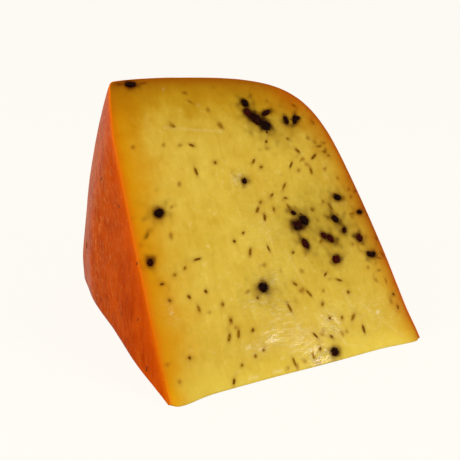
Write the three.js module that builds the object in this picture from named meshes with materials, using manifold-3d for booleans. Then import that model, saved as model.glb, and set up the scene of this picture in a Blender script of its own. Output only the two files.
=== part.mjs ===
// A wedge of firm yellow cheese with cloves and cumin, cut from a flat wheel with an orange coat.
//
// Millimetres, +Z up. The wheel's axis lies along X: its flat base is at low X and its domed
// top at high X. The wedge rests on one of its two cut faces, the other one leans over it, and
// the two meet in the tip edge along the front. The origin is under the middle of the wedge.
import * as THREE from 'three';
import { mergeVertices } from 'three/addons/utils/BufferGeometryUtils.js';
import Module from 'manifold-3d';

// The wheel: radii out from its axis, heights up from its flat base.
const wheelHeight = 129;
const bellyRadius = 143.2;
const bellyHeight = 45;
const flatBaseRadius = 108;
const bottomCornerRadius = 140.3;
const bottomCornerHeight = 4.3;
const bevelWidth = 12;
const shoulderStart = new THREE.Vector2(141.5, 70);
const shoulderEnd = new THREE.Vector2(100, 113.4);
const shoulderPull = 28.5;
const domeBulge = new THREE.Vector2(60, 123);
const wheelFacets = 144;

// The cut: the angle between the two cut faces, and how far the knife strayed from the axis.
const wedgeAngle = THREE.MathUtils.degToRad(54);
const knifeSkew = THREE.MathUtils.degToRad(4.76);

// How far the spices stand out of the sloping cut face.
const cloveRise = 0.9;
const cuminRise = 0.35;
const cuminLength = { least: 1.4, most: 4.2 };
const cuminWidth = { least: 1.0, most: 1.5 };
const lowestCumin = 2.4;

// Cloves and clove pieces on the sloping face. Each lump: how far along the tip edge from the
// base, how far up the face, its length and width, and its turn in degrees from the tip edge.
const cloveLumps = [
  [81.6, 113.6, 6.4, 5.0, 140],
  [77.6, 117.2, 8.6, 4.8, 133],
  [74.6, 120.6, 4.6, 3.6, 110],
  [74.4, 125.6, 4.2, 3.4, 110],
  [84.2, 119.8, 4.8, 2.2, 22],
  [98.8, 115.0, 4.4, 2.2, 62],
  [100.2, 115.6, 3.6, 1.8, 12],
  [93.8, 115.0, 3.8, 2.2, 100],
  [82.4, 63.4, 5.8, 5.2, 15],
  [86.4, 65.0, 5.0, 4.8, 60],
  [82.2, 69.2, 2.4, 1.8, 150],
  [83.4, 54.2, 5.2, 3.2, 108],
  [17.2, 78.2, 4.6, 3.8, 20],
  [55.8, 38.4, 4.6, 4.2, 0],
  [97.2, 44.4, 4.6, 3.8, 20],
  [81.2, 4.0, 4.0, 3.8, 0],
  [103.6, 63.4, 4.2, 2.8, 125],
  [106.6, 57.2, 2.8, 2.0, 60],
  [108.8, 73.6, 3.8, 2.8, 160],
  [118.6, 64.8, 2.8, 1.8, 5],
  [97.6, 54.4, 4.0, 2.8, 115],
  [94.6, 56.4, 3.2, 2.4, 130],
  [113.6, 52.4, 3.8, 3.4, 100],
  [116.2, 43.9, 2.6, 2.2, 140],
  [118.2, 43.4, 2.8, 2.2, 20],
  [7.6, 57.8, 3.0, 2.2, 70],
  [20.0, 138.3, 4.6, 2.6, 0],
  [62.0, 87.6, 2.4, 2.2, 60],
];

// Cumin lies in streaks, as the curd was stirred. Each streak: where it starts and ends, along
// and up the face, how many seeds it has, how far they stray from its line, and their turn.
const cuminStreaks = [
  { start: [45, 133], end: [46.5, 128.5], seeds: 2, stray: 0.4, turn: 160 },
  { start: [35, 117], end: [58, 115.6], seeds: 2, stray: 0.3, turn: 150 },
  { start: [13.7, 109], end: [41.5, 107.5], seeds: 3, stray: 0.8, turn: 120 },
  { start: [40, 94.6], end: [50.3, 98.2], seeds: 2, stray: 0.3, turn: 80 },
  { start: [69.6, 96.6], end: [72.8, 93], seeds: 2, stray: 0.3, turn: 30 },
  { start: [79.8, 105.5], end: [102.6, 104.8], seeds: 3, stray: 0.5, turn: 20 },
  { start: [106.4, 103], end: [111.4, 94.5], seeds: 4, stray: 1.0, turn: 20 },
  { start: [94.4, 98.4], end: [98.7, 87.8], seeds: 4, stray: 0.8, turn: 120 },
  { start: [88.3, 92.4], end: [102, 95.2], seeds: 3, stray: 1.6, turn: 40 },
  { start: [109, 113], end: [113, 83.4], seeds: 3, stray: 0.6, turn: 70 },
  { start: [66.4, 77], end: [81.6, 82.4], seeds: 3, stray: 0.6, turn: 35 },
  { start: [64.4, 73.4], end: [66.4, 69], seeds: 2, stray: 0.3, turn: 60 },
  { start: [80.4, 76.6], end: [80.8, 72.6], seeds: 2, stray: 0.4, turn: 130 },
  { start: [72.8, 72.4], end: [92.8, 69.6], seeds: 2, stray: 0.3, turn: 95 },
  { start: [100, 72.6], end: [103.7, 69.2], seeds: 2, stray: 0.3, turn: 120 },
  { start: [48.6, 60.8], end: [53.8, 63.6], seeds: 2, stray: 0.3, turn: 20 },
  { start: [54.4, 55], end: [64, 55.2], seeds: 2, stray: 0.3, turn: 100 },
  { start: [75.6, 51.4], end: [77, 42.4], seeds: 2, stray: 0.4, turn: 50 },
  { start: [91.6, 53.5], end: [109, 50.2], seeds: 3, stray: 0.5, turn: 10 },
  { start: [9.4, 69.6], end: [20.4, 68], seeds: 2, stray: 0.5, turn: 60 },
  { start: [10, 48], end: [28.4, 55.4], seeds: 4, stray: 0.8, turn: 30 },
  { start: [11.8, 41.5], end: [28, 41.2], seeds: 3, stray: 0.9, turn: 120 },
  { start: [23.6, 35], end: [34.6, 34.6], seeds: 2, stray: 0.3, turn: 110 },
  { start: [36.6, 27.4], end: [38.4, 21.6], seeds: 3, stray: 0.5, turn: 70 },
  { start: [33.4, 20.6], end: [45, 21.3], seeds: 2, stray: 0.3, turn: 60 },
  { start: [42.8, 11], end: [47.3, 12.2], seeds: 2, stray: 0.3, turn: 40 },
  { start: [6.8, 8.4], end: [13.6, 16.2], seeds: 2, stray: 0.3, turn: 110 },
  { start: [29.7, 3], end: [35.5, 8.6], seeds: 2, stray: 0.3, turn: 40 },
  { start: [56, 2.8], end: [74, 6.2], seeds: 5, stray: 0.9, turn: 80 },
  { start: [51.4, 34.6], end: [65.7, 27.5], seeds: 2, stray: 0.3, turn: 85 },
  { start: [71.9, 37.2], end: [77.3, 31.2], seeds: 3, stray: 0.5, turn: 110 },
  { start: [85.3, 31.2], end: [89, 38.8], seeds: 2, stray: 0.3, turn: 10 },
  { start: [95.4, 34.8], end: [98.2, 28.6], seeds: 2, stray: 0.3, turn: 130 },
  { start: [82.2, 25.6], end: [84.3, 19], seeds: 2, stray: 0.3, turn: 60 },
  { start: [90.8, 18], end: [96.5, 17], seeds: 2, stray: 0.3, turn: 70 },
  { start: [74.2, 12], end: [99.2, 10.1], seeds: 4, stray: 1.0, turn: 110 },
  { start: [113, 37.6], end: [115.4, 31.4], seeds: 2, stray: 0.3, turn: 110 },
  { start: [121.2, 29.4], end: [123, 16.5], seeds: 3, stray: 0.6, turn: 100 },
];
const cuminSway = 35;
const sunkShare = 0.25;
const cuminSeedValue = 32005;

// Half of the wheel's section, from the axis out along the base, up the rim and back over the top.
function wheelSection() {
  const section = new THREE.Path();
  section.moveTo(0, 0);
  section.lineTo(flatBaseRadius, 0);
  section.quadraticCurveTo(
    flatBaseRadius + bevelWidth, 0, bottomCornerRadius, bottomCornerHeight,
  );
  const belly = new THREE.Vector2(
    2 * bellyRadius - (bottomCornerRadius + shoulderStart.x) / 2,
    bellyHeight,
  );
  section.quadraticCurveTo(belly.x, belly.y, shoulderStart.x, shoulderStart.y);
  const fromBelly = shoulderStart.clone().sub(belly).setLength(shoulderPull);
  const fromDome = shoulderEnd.clone().sub(domeBulge).setLength(shoulderPull);
  fromBelly.add(shoulderStart);
  fromDome.add(shoulderEnd);
  section.bezierCurveTo(
    fromBelly.x, fromBelly.y, fromDome.x, fromDome.y, shoulderEnd.x, shoulderEnd.y,
  );
  section.quadraticCurveTo(domeBulge.x, domeBulge.y, 0, wheelHeight);
  return section;
}

// The whole wheel, turned so that its axis runs along X.
function wheelGeometry() {
  const facetTurn = (2 * Math.PI) / wheelFacets;
  const wheel = new THREE.LatheGeometry(wheelSection().getPoints(14), wheelFacets, facetTurn / 2);
  return wheel.rotateZ(-Math.PI / 2);
}

// The space between the two cuts: a long prism with its corner on the tip edge.
function cutGeometry() {
  const reach = 2 * bellyRadius;
  const overrun = 20;
  const corner = new THREE.Shape([
    new THREE.Vector2(0, 0),
    new THREE.Vector2(reach, 0),
    new THREE.Vector2(reach * Math.cos(wedgeAngle), reach * Math.sin(wedgeAngle)),
  ]);
  const depth = wheelHeight + 2 * overrun;
  const prism = new THREE.ExtrudeGeometry(corner, { depth, bevelEnabled: false });
  prism.translate(0, 0, -overrun);
  const across = new THREE.Vector3(0, 1, 0);
  const upward = new THREE.Vector3(0, 0, 1);
  const along = new THREE.Vector3(1, 0, 0);
  prism.applyMatrix4(new THREE.Matrix4().makeBasis(across, upward, along));
  return prism.rotateZ(knifeSkew);
}

// Puts a small thing on the sloping cut face: its Y along the turn, its Z out of the face.
function onCutFace(along, up, turn, rise) {
  const tipEdge = new THREE.Vector3(Math.cos(knifeSkew), Math.sin(knifeSkew), 0);
  const level = new THREE.Vector3(-Math.sin(knifeSkew), Math.cos(knifeSkew), 0);
  const upFace = level.multiplyScalar(Math.cos(wedgeAngle));
  upFace.z = Math.sin(wedgeAngle);
  const outward = new THREE.Vector3().crossVectors(tipEdge, upFace);
  const angle = THREE.MathUtils.degToRad(turn);
  const lengthwise = tipEdge.clone().multiplyScalar(Math.cos(angle));
  lengthwise.addScaledVector(upFace, Math.sin(angle));
  const sideways = new THREE.Vector3().crossVectors(lengthwise, outward);
  const place = new THREE.Matrix4().makeBasis(sideways, lengthwise, outward);
  const position = tipEdge.multiplyScalar(along);
  position.addScaledVector(upFace, up);
  position.addScaledVector(outward, rise);
  return place.setPosition(position);
}

// A clove or a piece of one, sunk so that only its rise stands out.
function cloveGeometry([along, up, length, width, turn]) {
  const lump = new THREE.IcosahedronGeometry(1, 1);
  lump.scale(width / 2, length / 2, width / 2);
  return lump.applyMatrix4(onCutFace(along, up, turn, cloveRise - width / 2));
}

// A cumin seed: a six-sided spindle, sunk so that only its rise stands out.
function cuminGeometry({ along, up, length, width, turn }) {
  const halfLength = length / 2;
  const halfWidth = width / 2;
  const outline = [
    new THREE.Vector2(0, -halfLength),
    new THREE.Vector2(halfWidth, -halfLength * 0.45),
    new THREE.Vector2(halfWidth, halfLength * 0.45),
    new THREE.Vector2(0, halfLength),
  ];
  const seed = new THREE.LatheGeometry(outline, 6);
  return seed.applyMatrix4(onCutFace(along, up, turn, cuminRise - halfWidth));
}

// Numbers from 0 to 1 that are the same on every run.
function seededNumbers(seedValue) {
  let state = seedValue;
  return () => {
    state = (Math.imul(state, 1664525) + 1013904223) >>> 0;
    return state / 4294967296;
  };
}

// The cumin seeds of the streaks, without those that are sunk in the paste.
function cuminSeeds() {
  const draw = seededNumbers(cuminSeedValue);
  const seeds = [];
  for (const { start, end, seeds: count, stray, turn: middleTurn } of cuminStreaks) {
    for (let index = 0; index < count; index += 1) {
      const share = index / (count - 1);
      const along = start[0] + (end[0] - start[0]) * share + stray * (2 * draw() - 1);
      const up = start[1] + (end[1] - start[1]) * share + stray * (2 * draw() - 1);
      const length = cuminLength.least + (cuminLength.most - cuminLength.least) * draw() ** 2.5;
      const width = cuminWidth.least + (cuminWidth.most - cuminWidth.least) * draw();
      const turn = middleTurn + cuminSway * (2 * draw() - 1);
      const sunk = draw() < sunkShare;
      if (!sunk) seeds.push({ along, up: Math.max(up, lowestCumin), length, width, turn });
    }
  }
  return seeds;
}

const wasm = await Module();
wasm.setup();

// A closed geometry as a solid that can be joined and cut.
function toSolid(geometry) {
  geometry.deleteAttribute('normal');
  geometry.deleteAttribute('uv');
  const merged = mergeVertices(geometry, 1e-5);
  const triangles = [];
  const corners = merged.index.array;
  for (let first = 0; first < corners.length; first += 3) {
    const [a, b, c] = corners.slice(first, first + 3);
    if (a !== b && b !== c && c !== a) triangles.push(a, b, c);
  }
  const vertProperties = new Float32Array(merged.attributes.position.array);
  const triVerts = new Uint32Array(triangles);
  return new wasm.Manifold(new wasm.Mesh({ numProp: 3, vertProperties, triVerts }));
}

function toGeometry(solid) {
  const { vertProperties, triVerts } = solid.getMesh();
  const geometry = new THREE.BufferGeometry();
  geometry.setAttribute('position', new THREE.BufferAttribute(vertProperties, 3));
  geometry.setIndex(new THREE.BufferAttribute(triVerts, 1));
  geometry.computeVertexNormals();
  return geometry;
}

// The cut wedge with its spices joined on.
function wedgeGeometry() {
  let wedge = toSolid(wheelGeometry()).intersect(toSolid(cutGeometry()));
  for (const lump of cloveLumps) wedge = wedge.add(toSolid(cloveGeometry(lump)));
  for (const seed of cuminSeeds()) wedge = wedge.add(toSolid(cuminGeometry(seed)));
  return toGeometry(wedge);
}

// The wedge's mesh, moved so that the middle of its underside is at the origin.
function cheeseWedge() {
  const geometry = wedgeGeometry();
  const paste = new THREE.MeshStandardMaterial({ color: 0xd9b43c, roughness: 0.45, metalness: 0 });
  const mesh = new THREE.Mesh(geometry, paste);
  mesh.name = 'cheese_wedge';
  geometry.computeBoundingBox();
  const middle = geometry.boundingBox.getCenter(new THREE.Vector3());
  mesh.position.set(-middle.x, -middle.y, -geometry.boundingBox.min.z);
  return mesh;
}

const model = new THREE.Group();
model.add(cheeseWedge());

export default model;
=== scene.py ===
import math
import random

import bmesh
import bpy
import numpy as np
from mathutils import Matrix, Vector, geometry, noise


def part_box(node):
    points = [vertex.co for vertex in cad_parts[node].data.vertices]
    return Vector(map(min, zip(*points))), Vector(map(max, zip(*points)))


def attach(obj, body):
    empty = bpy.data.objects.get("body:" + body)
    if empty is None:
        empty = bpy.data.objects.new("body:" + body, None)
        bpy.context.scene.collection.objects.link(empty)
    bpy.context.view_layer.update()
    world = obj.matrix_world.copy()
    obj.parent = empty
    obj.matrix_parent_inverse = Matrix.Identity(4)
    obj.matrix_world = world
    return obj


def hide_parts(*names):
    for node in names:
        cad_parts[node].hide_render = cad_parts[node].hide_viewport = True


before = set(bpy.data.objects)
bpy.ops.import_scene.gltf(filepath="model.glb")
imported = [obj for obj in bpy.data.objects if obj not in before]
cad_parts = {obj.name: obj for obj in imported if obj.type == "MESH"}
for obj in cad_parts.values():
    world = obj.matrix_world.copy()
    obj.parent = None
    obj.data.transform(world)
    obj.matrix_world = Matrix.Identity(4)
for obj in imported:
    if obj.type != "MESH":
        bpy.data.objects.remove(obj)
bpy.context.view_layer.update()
print("frame loaded")

mm = 0.001  # sizes below are in millimetres, counted from the tip corner of the wedge
tipCorner = np.array(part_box("cheese_wedge")[0])  # where the two cuts meet the flat base

wheel = {  # the wheel that the wedge was cut from; each pair is a radius and a height
    "height": 129.0,
    "bellyRadius": 143.2,
    "bellyHeight": 45.0,
    "flatBaseRadius": 108.0,
    "bevelWidth": 12.0,
    "bottomCorner": (140.3, 4.3),
    "cornerRounding": 1.8,
    "shoulderStart": (141.5, 70.0),
    "shoulderEnd": (100.0, 113.4),
    "shoulderPull": 28.5,
    "domeBulge": (60.0, 123.0),
}
knife = {  # how it was cut
    "wedgeAngle": 54.0,
    "skew": 4.76,
    "waviness": 0.30,  # how far the sloping cut leaves its plane
    "waveLength": 34.0,
    "fineWaviness": 0.05,
    "fineWaveLength": 6.0,
    "fineWavePace": 0.35,  # below 1, the fine waves are longer up the cut than along it
    "wavesFull": (18.0, 14.0),  # how far from the tip edge, and from the rim, the waves are full
    "ripplesFull": 1.5,
    "tipLift": 0.10,  # how far the tip edge rises off the board at most
    "liftReach": 25.0,  # how far in the underside rises with it
    "tipWander": 0.35,
    "wanderTurns": (7.3, 0.4),  # how it wanders: radians over its length, and at its start
    # where the foot of the sloping cut spreads: how far along, over what length, by how much
    "spreads": [(5.0, 9.0, 2.7), (24.0, 20.0, 0.6), (85.0, 40.0, 0.5), (124.0, 12.0, 1.7)],
    "spreadHeight": 6.0,
    "spreadEnds": 1.7,  # the spreads die away this near to the ends of the tip edge
    "tipBluntness": 0.45,
    "edgeBluntness": 0.28,
}

skew = math.radians(knife["skew"])
lean = math.radians(knife["wedgeAngle"])
tipEdge = np.array([math.cos(skew), math.sin(skew), 0.0])
upFace = np.array([-math.sin(skew) * math.cos(lean), math.cos(skew) * math.cos(lean), math.sin(lean)])
outOfFace = np.cross(tipEdge, upFace)
down = np.array([0.0, 0.0, -1.0])
across, away = np.array([1.0, 0.0, 0.0]), np.array([0.0, 1.0, 0.0])


def toWorld(points):
    return np.asarray(points) * mm + tipCorner


def onSlope(along, up, out=0.0):
    return tipEdge * along + upFace * up + outOfFace * out


def unit(vector):
    return np.asarray(vector) / np.linalg.norm(vector)


def nearest(points, targets):
    # distance from each point to the closest target
    best = np.empty(len(points))
    for start in range(0, len(points), 2000):
        part = points[start:start + 2000]
        gaps = part[:, None, :] - targets[None, :, :]
        best[start:start + 2000] = np.sqrt(np.min(np.sum(gaps ** 2, 2), 1))
    return best


def softNoise(points, size, seed):
    shift = Vector((seed * 13.7, seed * 5.1, seed * 9.3))
    return np.array([noise.noise(Vector(point) / size + shift) for point in points])


def curvePoint(controls, share):
    controls = [np.array(point, float) for point in controls]
    while len(controls) > 1:
        controls = [a + (b - a) * share for a, b in zip(controls, controls[1:])]
    return controls[0]


def curvePoints(controls, count, first=0.0, last=1.0):
    return [curvePoint(controls, share) for share in np.linspace(first, last, count)]


def evenly(points, count):
    points = np.asarray(points)
    run = np.concatenate([[0.0], np.cumsum(np.linalg.norm(np.diff(points, axis=0), axis=1))])
    marks = np.linspace(0.0, run[-1], count + 1)
    return np.stack([np.interp(marks, run, points[:, axis]) for axis in range(points.shape[1])], 1)


body = {  # how finely the wedge is made, and how uneven its outside is
    "alongSteps": 196,
    "upSteps": 212,
    "aroundSteps": 58,
    "edgeStep": 0.6,  # width of the faces next to a cut edge
    "undersideSpacing": 1.7,
    "sharpFrom": 65.0,  # edges that turn by more degrees look sharp
    "coatThickness": 0.5,
    "unevenness": 0.34,
    "patch": 38.0,
    "ripple": 0.07,
    "rippleSize": 7.0,
    "meltIn": 12.0,  # how far the cut's waves reach into the rind
    # the wheel isn't quite round: height, angle over the board, radius, reach, how far in (out below 0)
    "spots": [
        (20, 41, 141, 34, 0.8), (10, 28, 141, 33, 0.9), (10, 56, 141, 22, -1.0), (3, 5, 140, 10, -0.6),
        (8, 16, 141, 16, 0.5), (0, 0, 35, 22, -1.1), (0, 0, 122, 17, 1.0), (92, 54, 131, 26, -0.7),
        (108, 54, 108, 15, -0.6), (118, 48, 90, 26, -0.3), (127, 0, 10, 12, -1.2),
    ],
}


def wheelSection():
    # half of the wheel's section as three even stretches: base, rim and top
    corner = np.array(wheel["bottomCorner"])
    start = np.array(wheel["shoulderStart"])
    end = np.array(wheel["shoulderEnd"])
    bulge = np.array(wheel["domeBulge"])
    flat = wheel["flatBaseRadius"]
    belly = np.array([2 * wheel["bellyRadius"] - (corner[0] + start[0]) / 2, wheel["bellyHeight"]])
    bevel = [(flat, 0.0), (flat + wheel["bevelWidth"], 0.0), corner]
    side = [corner, belly, start]
    shoulder = [start, start + unit(start - belly) * wheel["shoulderPull"],
                end + unit(end - bulge) * wheel["shoulderPull"], end]
    crown = [end, bulge, (0.0, wheel["height"])]
    rounding = wheel["cornerRounding"]
    near = [corner - unit(corner - np.array(bevel[1])) * rounding, corner,
            corner + unit(belly - corner) * rounding]
    # from each curve: how many points, and from which share of it to which
    base = [(0.0, 0.0)] + curvePoints(bevel, 40, 0.0, 0.93) + curvePoints(near, 8, 0.0, 0.5)
    rim = curvePoints(near, 8, 0.5, 1.0) + curvePoints(side, 60, 0.03, 1.0)
    rim += curvePoints(shoulder, 40, 0.02, 0.5)
    top = np.array(curvePoints(shoulder, 40, 0.5, 1.0) + curvePoints(crown, 80, 0.01, 1.0))
    beyond = top[:, 0] - top[:, 1] * math.tan(skew)  # the top stops where the sloping cut leaves it
    stop = int(np.argmax(beyond < 0))
    share = beyond[stop - 1] / (beyond[stop - 1] - beyond[stop])
    last = top[stop - 1] + (top[stop] - top[stop - 1]) * share
    top = np.vstack([top[:stop], last])
    return evenly(base, body["upSteps"]), evenly(rim, body["alongSteps"]), evenly(top, body["upSteps"])


def outerSkin():
    # rows follow the section from the tip corner round to the tip's far end, columns go round
    base, rim, top = wheelSection()
    section = np.vstack([base, rim[1:], top[1:]])
    radius, height = section[:, 0], section[:, 1]
    step = np.gradient(section, axis=0)
    outward = np.stack([step[:, 1], -step[:, 0]], 1)
    outward /= np.linalg.norm(outward, axis=1)[:, None]
    traceAngle = math.atan(math.tan(lean) * math.cos(skew))
    offset = height * math.tan(skew)
    reach = -offset * math.cos(traceAngle) + np.sqrt(
        np.maximum(radius ** 2 - (offset * math.sin(traceAngle)) ** 2, 0.0))
    lastAngle = np.arctan2(reach * math.sin(traceAngle), offset + reach * math.cos(traceAngle))
    shares = np.linspace(0.0, 1.0, body["aroundSteps"] + 1)
    angle = lastAngle[:, None] * shares[None, :]
    narrow = np.minimum(body["edgeStep"] / np.maximum(radius, 0.1), 0.5 * lastAngle * shares[1])
    angle[:, 1] = narrow
    angle[:, -2] = lastAngle - narrow
    place = np.stack([np.repeat(height[:, None], len(shares), 1),
                      radius[:, None] * np.cos(angle), radius[:, None] * np.sin(angle)], 2)
    normal = np.stack([np.repeat(outward[:, 1:], len(shares), 1),
                       outward[:, :1] * np.cos(angle), outward[:, :1] * np.sin(angle)], 2)
    flat = place.reshape(-1, 3)
    bumps = body["unevenness"] * softNoise(flat, body["patch"], 1)
    bumps += body["ripple"] * softNoise(flat, body["rippleSize"], 2)
    for spotHeight, over, spotRadius, reachOut, depth in body["spots"]:
        over = math.radians(over)
        middle = np.array([spotHeight, spotRadius * math.cos(over), spotRadius * math.sin(over)])
        bumps -= depth * np.exp(-(np.linalg.norm(flat - middle, axis=1) / reachOut) ** 2)
    bumps = bumps.reshape(angle.shape)
    bumps[0] = bumps[0, 0]
    bumps[-1] = bumps[-1, 0]
    fromCut = (lastAngle[:, None] - angle) * radius[:, None]
    return place + normal * bumps[..., None], normal, fromCut


def cutWave(points):
    # how far the knife left its plane, by place
    broad = softNoise(points, knife["waveLength"], 3)
    pace = np.array([1.0, knife["fineWavePace"], knife["fineWavePace"]])
    fine = softNoise(points * pace, knife["fineWaveLength"], 4)
    return knife["waviness"] * broad + knife["fineWaviness"] * fine


def coatGrids():
    # the coat's outer and inner side, which meet both cuts
    skin, normal, fromCut = outerSkin()
    thickness = body["coatThickness"]
    fade = np.clip(1 - fromCut / body["meltIn"], 0, 1) ** 2
    skin = skin + outOfFace * (cutWave(skin[:, -1])[:, None] * fade)[..., None]
    inner = skin - normal * thickness
    for column, facing in ((-1, outOfFace), (0, down)):
        edgeNormal = normal[:, column]
        level = edgeNormal - np.outer(edgeNormal @ facing, facing)
        level /= np.linalg.norm(level, axis=1)[:, None]
        inner[:, column] = skin[:, column] - level * thickness
        skin[1:-1, column] -= knife["edgeBluntness"] * (facing + edgeNormal[1:-1]) / math.sqrt(2)
    inward = np.array([0.0, math.cos(lean / 2), math.sin(lean / 2)]) * knife["tipBluntness"]
    skin[0], skin[-1] = skin[0, 0] + inward, skin[-1, 0] + inward
    inner[0] = skin[0] + tipEdge * thickness
    inner[-1] = skin[-1] - tipEdge * thickness
    return skin, inner, normal, fromCut


def tipPoints(first, last):
    # the tip edge wanders a little
    shares = np.linspace(0.0, 1.0, body["alongSteps"] + 1)
    points = first + (last - first) * shares[:, None]
    points[:, 2] += knife["tipLift"] * np.sin(np.pi * shares) ** 2
    turns, atStart = knife["wanderTurns"]
    points[:, 1] += knife["tipWander"] * np.sin(turns * shares + atStart) * np.sin(np.pi * shares)
    return points


def footSpread(points, tip):
    # how far each point of the sloping cut is pushed forward, most at its foot
    along, end = points @ tipEdge, tip[-1] @ tipEdge
    push = sum(most * np.exp(-((along - place) / length) ** 2) for place, length, most in knife["spreads"])
    ends = 1 - np.exp(-(np.minimum(along, end - along) / knife["spreadEnds"]) ** 2)
    return push * ends * np.exp(-(points @ upFace / knife["spreadHeight"]) ** 2)


def coonsFill(bottom, top, left, right):
    # fills a four-sided patch: bottom and top run along, left and right run up
    p = np.linspace(0.0, 1.0, len(bottom))[:, None, None]
    q = np.linspace(0.0, 1.0, len(left))[None, :, None]
    patch = (1 - q) * bottom[:, None] + q * top[:, None] + (1 - p) * left[None] + p * right[None]
    patch -= (1 - p) * (1 - q) * bottom[0] + p * (1 - q) * bottom[-1]
    patch -= (1 - p) * q * top[0] + p * q * top[-1]
    return patch


ripples = {  # fine shiny ripples where the knife dragged
    # along, up, half length, half height, strength, which way the waves follow each other
    "patches": [
        (53, 17, 5, 4, 1.0, 98), (60, 27, 9, 7, 0.5, 92), (66, 12, 8, 8, 0.45, 100),
        (73, 4.5, 5, 3.5, 2.4, 122), (44, 14, 5, 3, 0.6, 95), (50, 33, 8, 4, 0.6, 90),
        (60, 41, 6, 4, 0.6, 80), (84, 17, 5, 7, 0.8, 52), (104, 16, 14, 10, 0.3, 50),
        (60, 89, 4, 4, 0.6, 100), (64, 62, 9, 18, 0.25, 95), (11, 36, 4, 5, 0.2, 100),
    ],
    "height": 0.14,
    "crestWidth": 1.0,
    "crestLength": 3.4,
}

scores = {  # pale lines that the knife left, and nicks with a painted glint on each: start and end along and up, width, strength
    "lines": [
        (30, 116.8, 58, 112.5, 0.6, 0.14), (64.9, 68, 66.6, 57.5, 0.6, 0.10),
        (72.6, 52, 76, 37.3, 0.6, 0.12), (95.8, 29.3, 97.3, 21.5, 0.7, 0.18),
        (98.7, 27.7, 119.5, 3.5, 0.6, 0.12), (79.9, 21, 88.7, 5.6, 0.6, 0.18),
        (88.7, 5.6, 98, 3.1, 0.6, 0.10),
    ],
    "glintingNicks": [
        (110.6, 16.6, 111.0, 16.6, 0.6, 1.00), (66.6, 18.2, 67.6, 17.9, 0.5, 0.55),
        (49.8, 126.5, 51, 126.3, 0.6, 0.14), (35, 134.7, 35.2, 135.5, 0.6, 0.10),
        (59.4, 90.9, 60.8, 90.5, 0.6, 0.28), (57.6, 86.7, 58.2, 89.5, 0.6, 0.25),
        (40.2, 14.5, 41.4, 14.7, 0.6, 0.55), (45.5, 13.1, 47.6, 13.3, 0.5, 0.30),
        (54.7, 7, 55.6, 7.2, 0.6, 0.30), (60.2, 40, 61.4, 40.4, 0.6, 0.28),
        (53, 32, 55.5, 32.1, 0.5, 0.25), (10.6, 35.5, 11.5, 36, 0.7, 0.25),
        (37, 2.5, 41, 2.2, 0.6, 0.28), (49, 2.4, 53, 2.2, 0.6, 0.28),
        (62.6, 24.7, 65, 24.5, 0.5, 0.30), (51.6, 14.9, 54.6, 15.3, 0.5, 0.30),
        (60.4, 11.1, 62.6, 10.7, 0.5, 0.28), (77.8, 4.9, 79, 4.7, 0.6, 0.60),
    ],
}


def slopeCoordinates(points):
    return np.stack([points @ tipEdge, points @ upFace], 1)


def blend(marks):
    kept = 1.0
    for mark in marks:
        kept = kept * (1 - mark)
    return 1 - kept


def oval(flat, along, up, halfLength, halfHeight):
    # 1 in the middle of an oval on the cut, and less and less outwards
    return np.exp(-((flat[:, 0] - along) / halfLength) ** 2 - ((flat[:, 1] - up) / halfHeight) ** 2)


def rippleField(flat):
    # how rippled each point of the cut is, and how high the ripples stand there
    masks, height = [], np.zeros(len(flat))
    for *place, strength, heading in ripples["patches"]:
        mask = strength * oval(flat, *place)
        turn = math.radians(heading)
        onward = flat[:, 0] * math.cos(turn) + flat[:, 1] * math.sin(turn)
        sideways = flat[:, 0] * math.sin(turn) - flat[:, 1] * math.cos(turn)
        waves = np.stack([onward / ripples["crestWidth"], sideways / ripples["crestLength"], 0 * onward], 1)
        masks.append(np.minimum(mask, 1))
        touched = mask > 0.01
        height[touched] += mask[touched] * softNoise(waves[touched], 1.0, 5)
    return blend(masks), ripples["height"] * height


def scoreField(flat):
    # how near each point of the cut is to a pale line, or to a nick with its painted glint
    marks = []
    for alongStart, upStart, alongEnd, upEnd, width, strength in scores["lines"] + scores["glintingNicks"]:
        start = np.array([alongStart, upStart])
        way = np.array([alongEnd, upEnd]) - start
        share = np.clip((flat - start) @ way / (way @ way), 0, 1)
        gap = np.linalg.norm(flat - start - share[:, None] * way, axis=1)
        marks.append(strength * np.exp(-(gap / width) ** 2))
    return blend(marks)


def underside(outline):
    # triangles inside the outline of the underside, which lies on the board
    spacing = body["undersideSpacing"]
    flat = outline[:, :2]
    rows = np.arange(flat[:, 1].min(), flat[:, 1].max(), spacing * 0.866)  # makes even triangles
    places = np.arange(flat[:, 0].min(), flat[:, 0].max(), spacing)
    inner = np.array([(x + spacing / 2 * (row % 2), y) for row, y in enumerate(rows) for x in places])
    inner = inner[nearest(inner, flat) > spacing * 0.62]  # keeps clear of the outline
    points = [Vector(point) for point in np.vstack([flat, inner])]
    found = geometry.delaunay_2d_cdt(points, [], [list(range(len(flat)))], 1, 1e-6)
    return found[0], found[2], found[3]


def gridFaces(ids):
    # four-cornered faces between neighbouring rows and columns, without doubled corners
    faces = []
    for row, after in zip(ids[:-1], ids[1:]):
        for column in range(len(row) - 1):
            ring = [row[column], row[column + 1], after[column + 1], after[column]]
            faces.append([corner for place, corner in enumerate(ring) if corner != ring[place - 1]])
    return faces


def gridIds(rows, columns, first):
    # point numbers of a grid whose first and last rows are one point each
    ids = np.zeros((rows, columns), int)
    ids[1:-1] = 1 + np.arange((rows - 2) * columns).reshape(rows - 2, columns)
    ids[-1] = (rows - 2) * columns + 1
    return ids + first


def gridPoints(grid):
    return np.vstack([grid[:1, 0], grid[1:-1].reshape(-1, 3), grid[-1:, 0]])


def coatShell(skin, inner):
    rows, columns = skin.shape[:2]
    outerId = gridIds(rows, columns, 0)
    innerId = gridIds(rows, columns, outerId.max() + 1)
    faces = gridFaces(outerId) + [ring[::-1] for ring in gridFaces(innerId)]
    faces += gridFaces(np.stack([outerId[:, -1], innerId[:, -1]], 1))
    faces += gridFaces(np.stack([innerId[:, 0], outerId[:, 0]], 1))
    return np.vstack([gridPoints(skin), gridPoints(inner)]), faces


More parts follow.
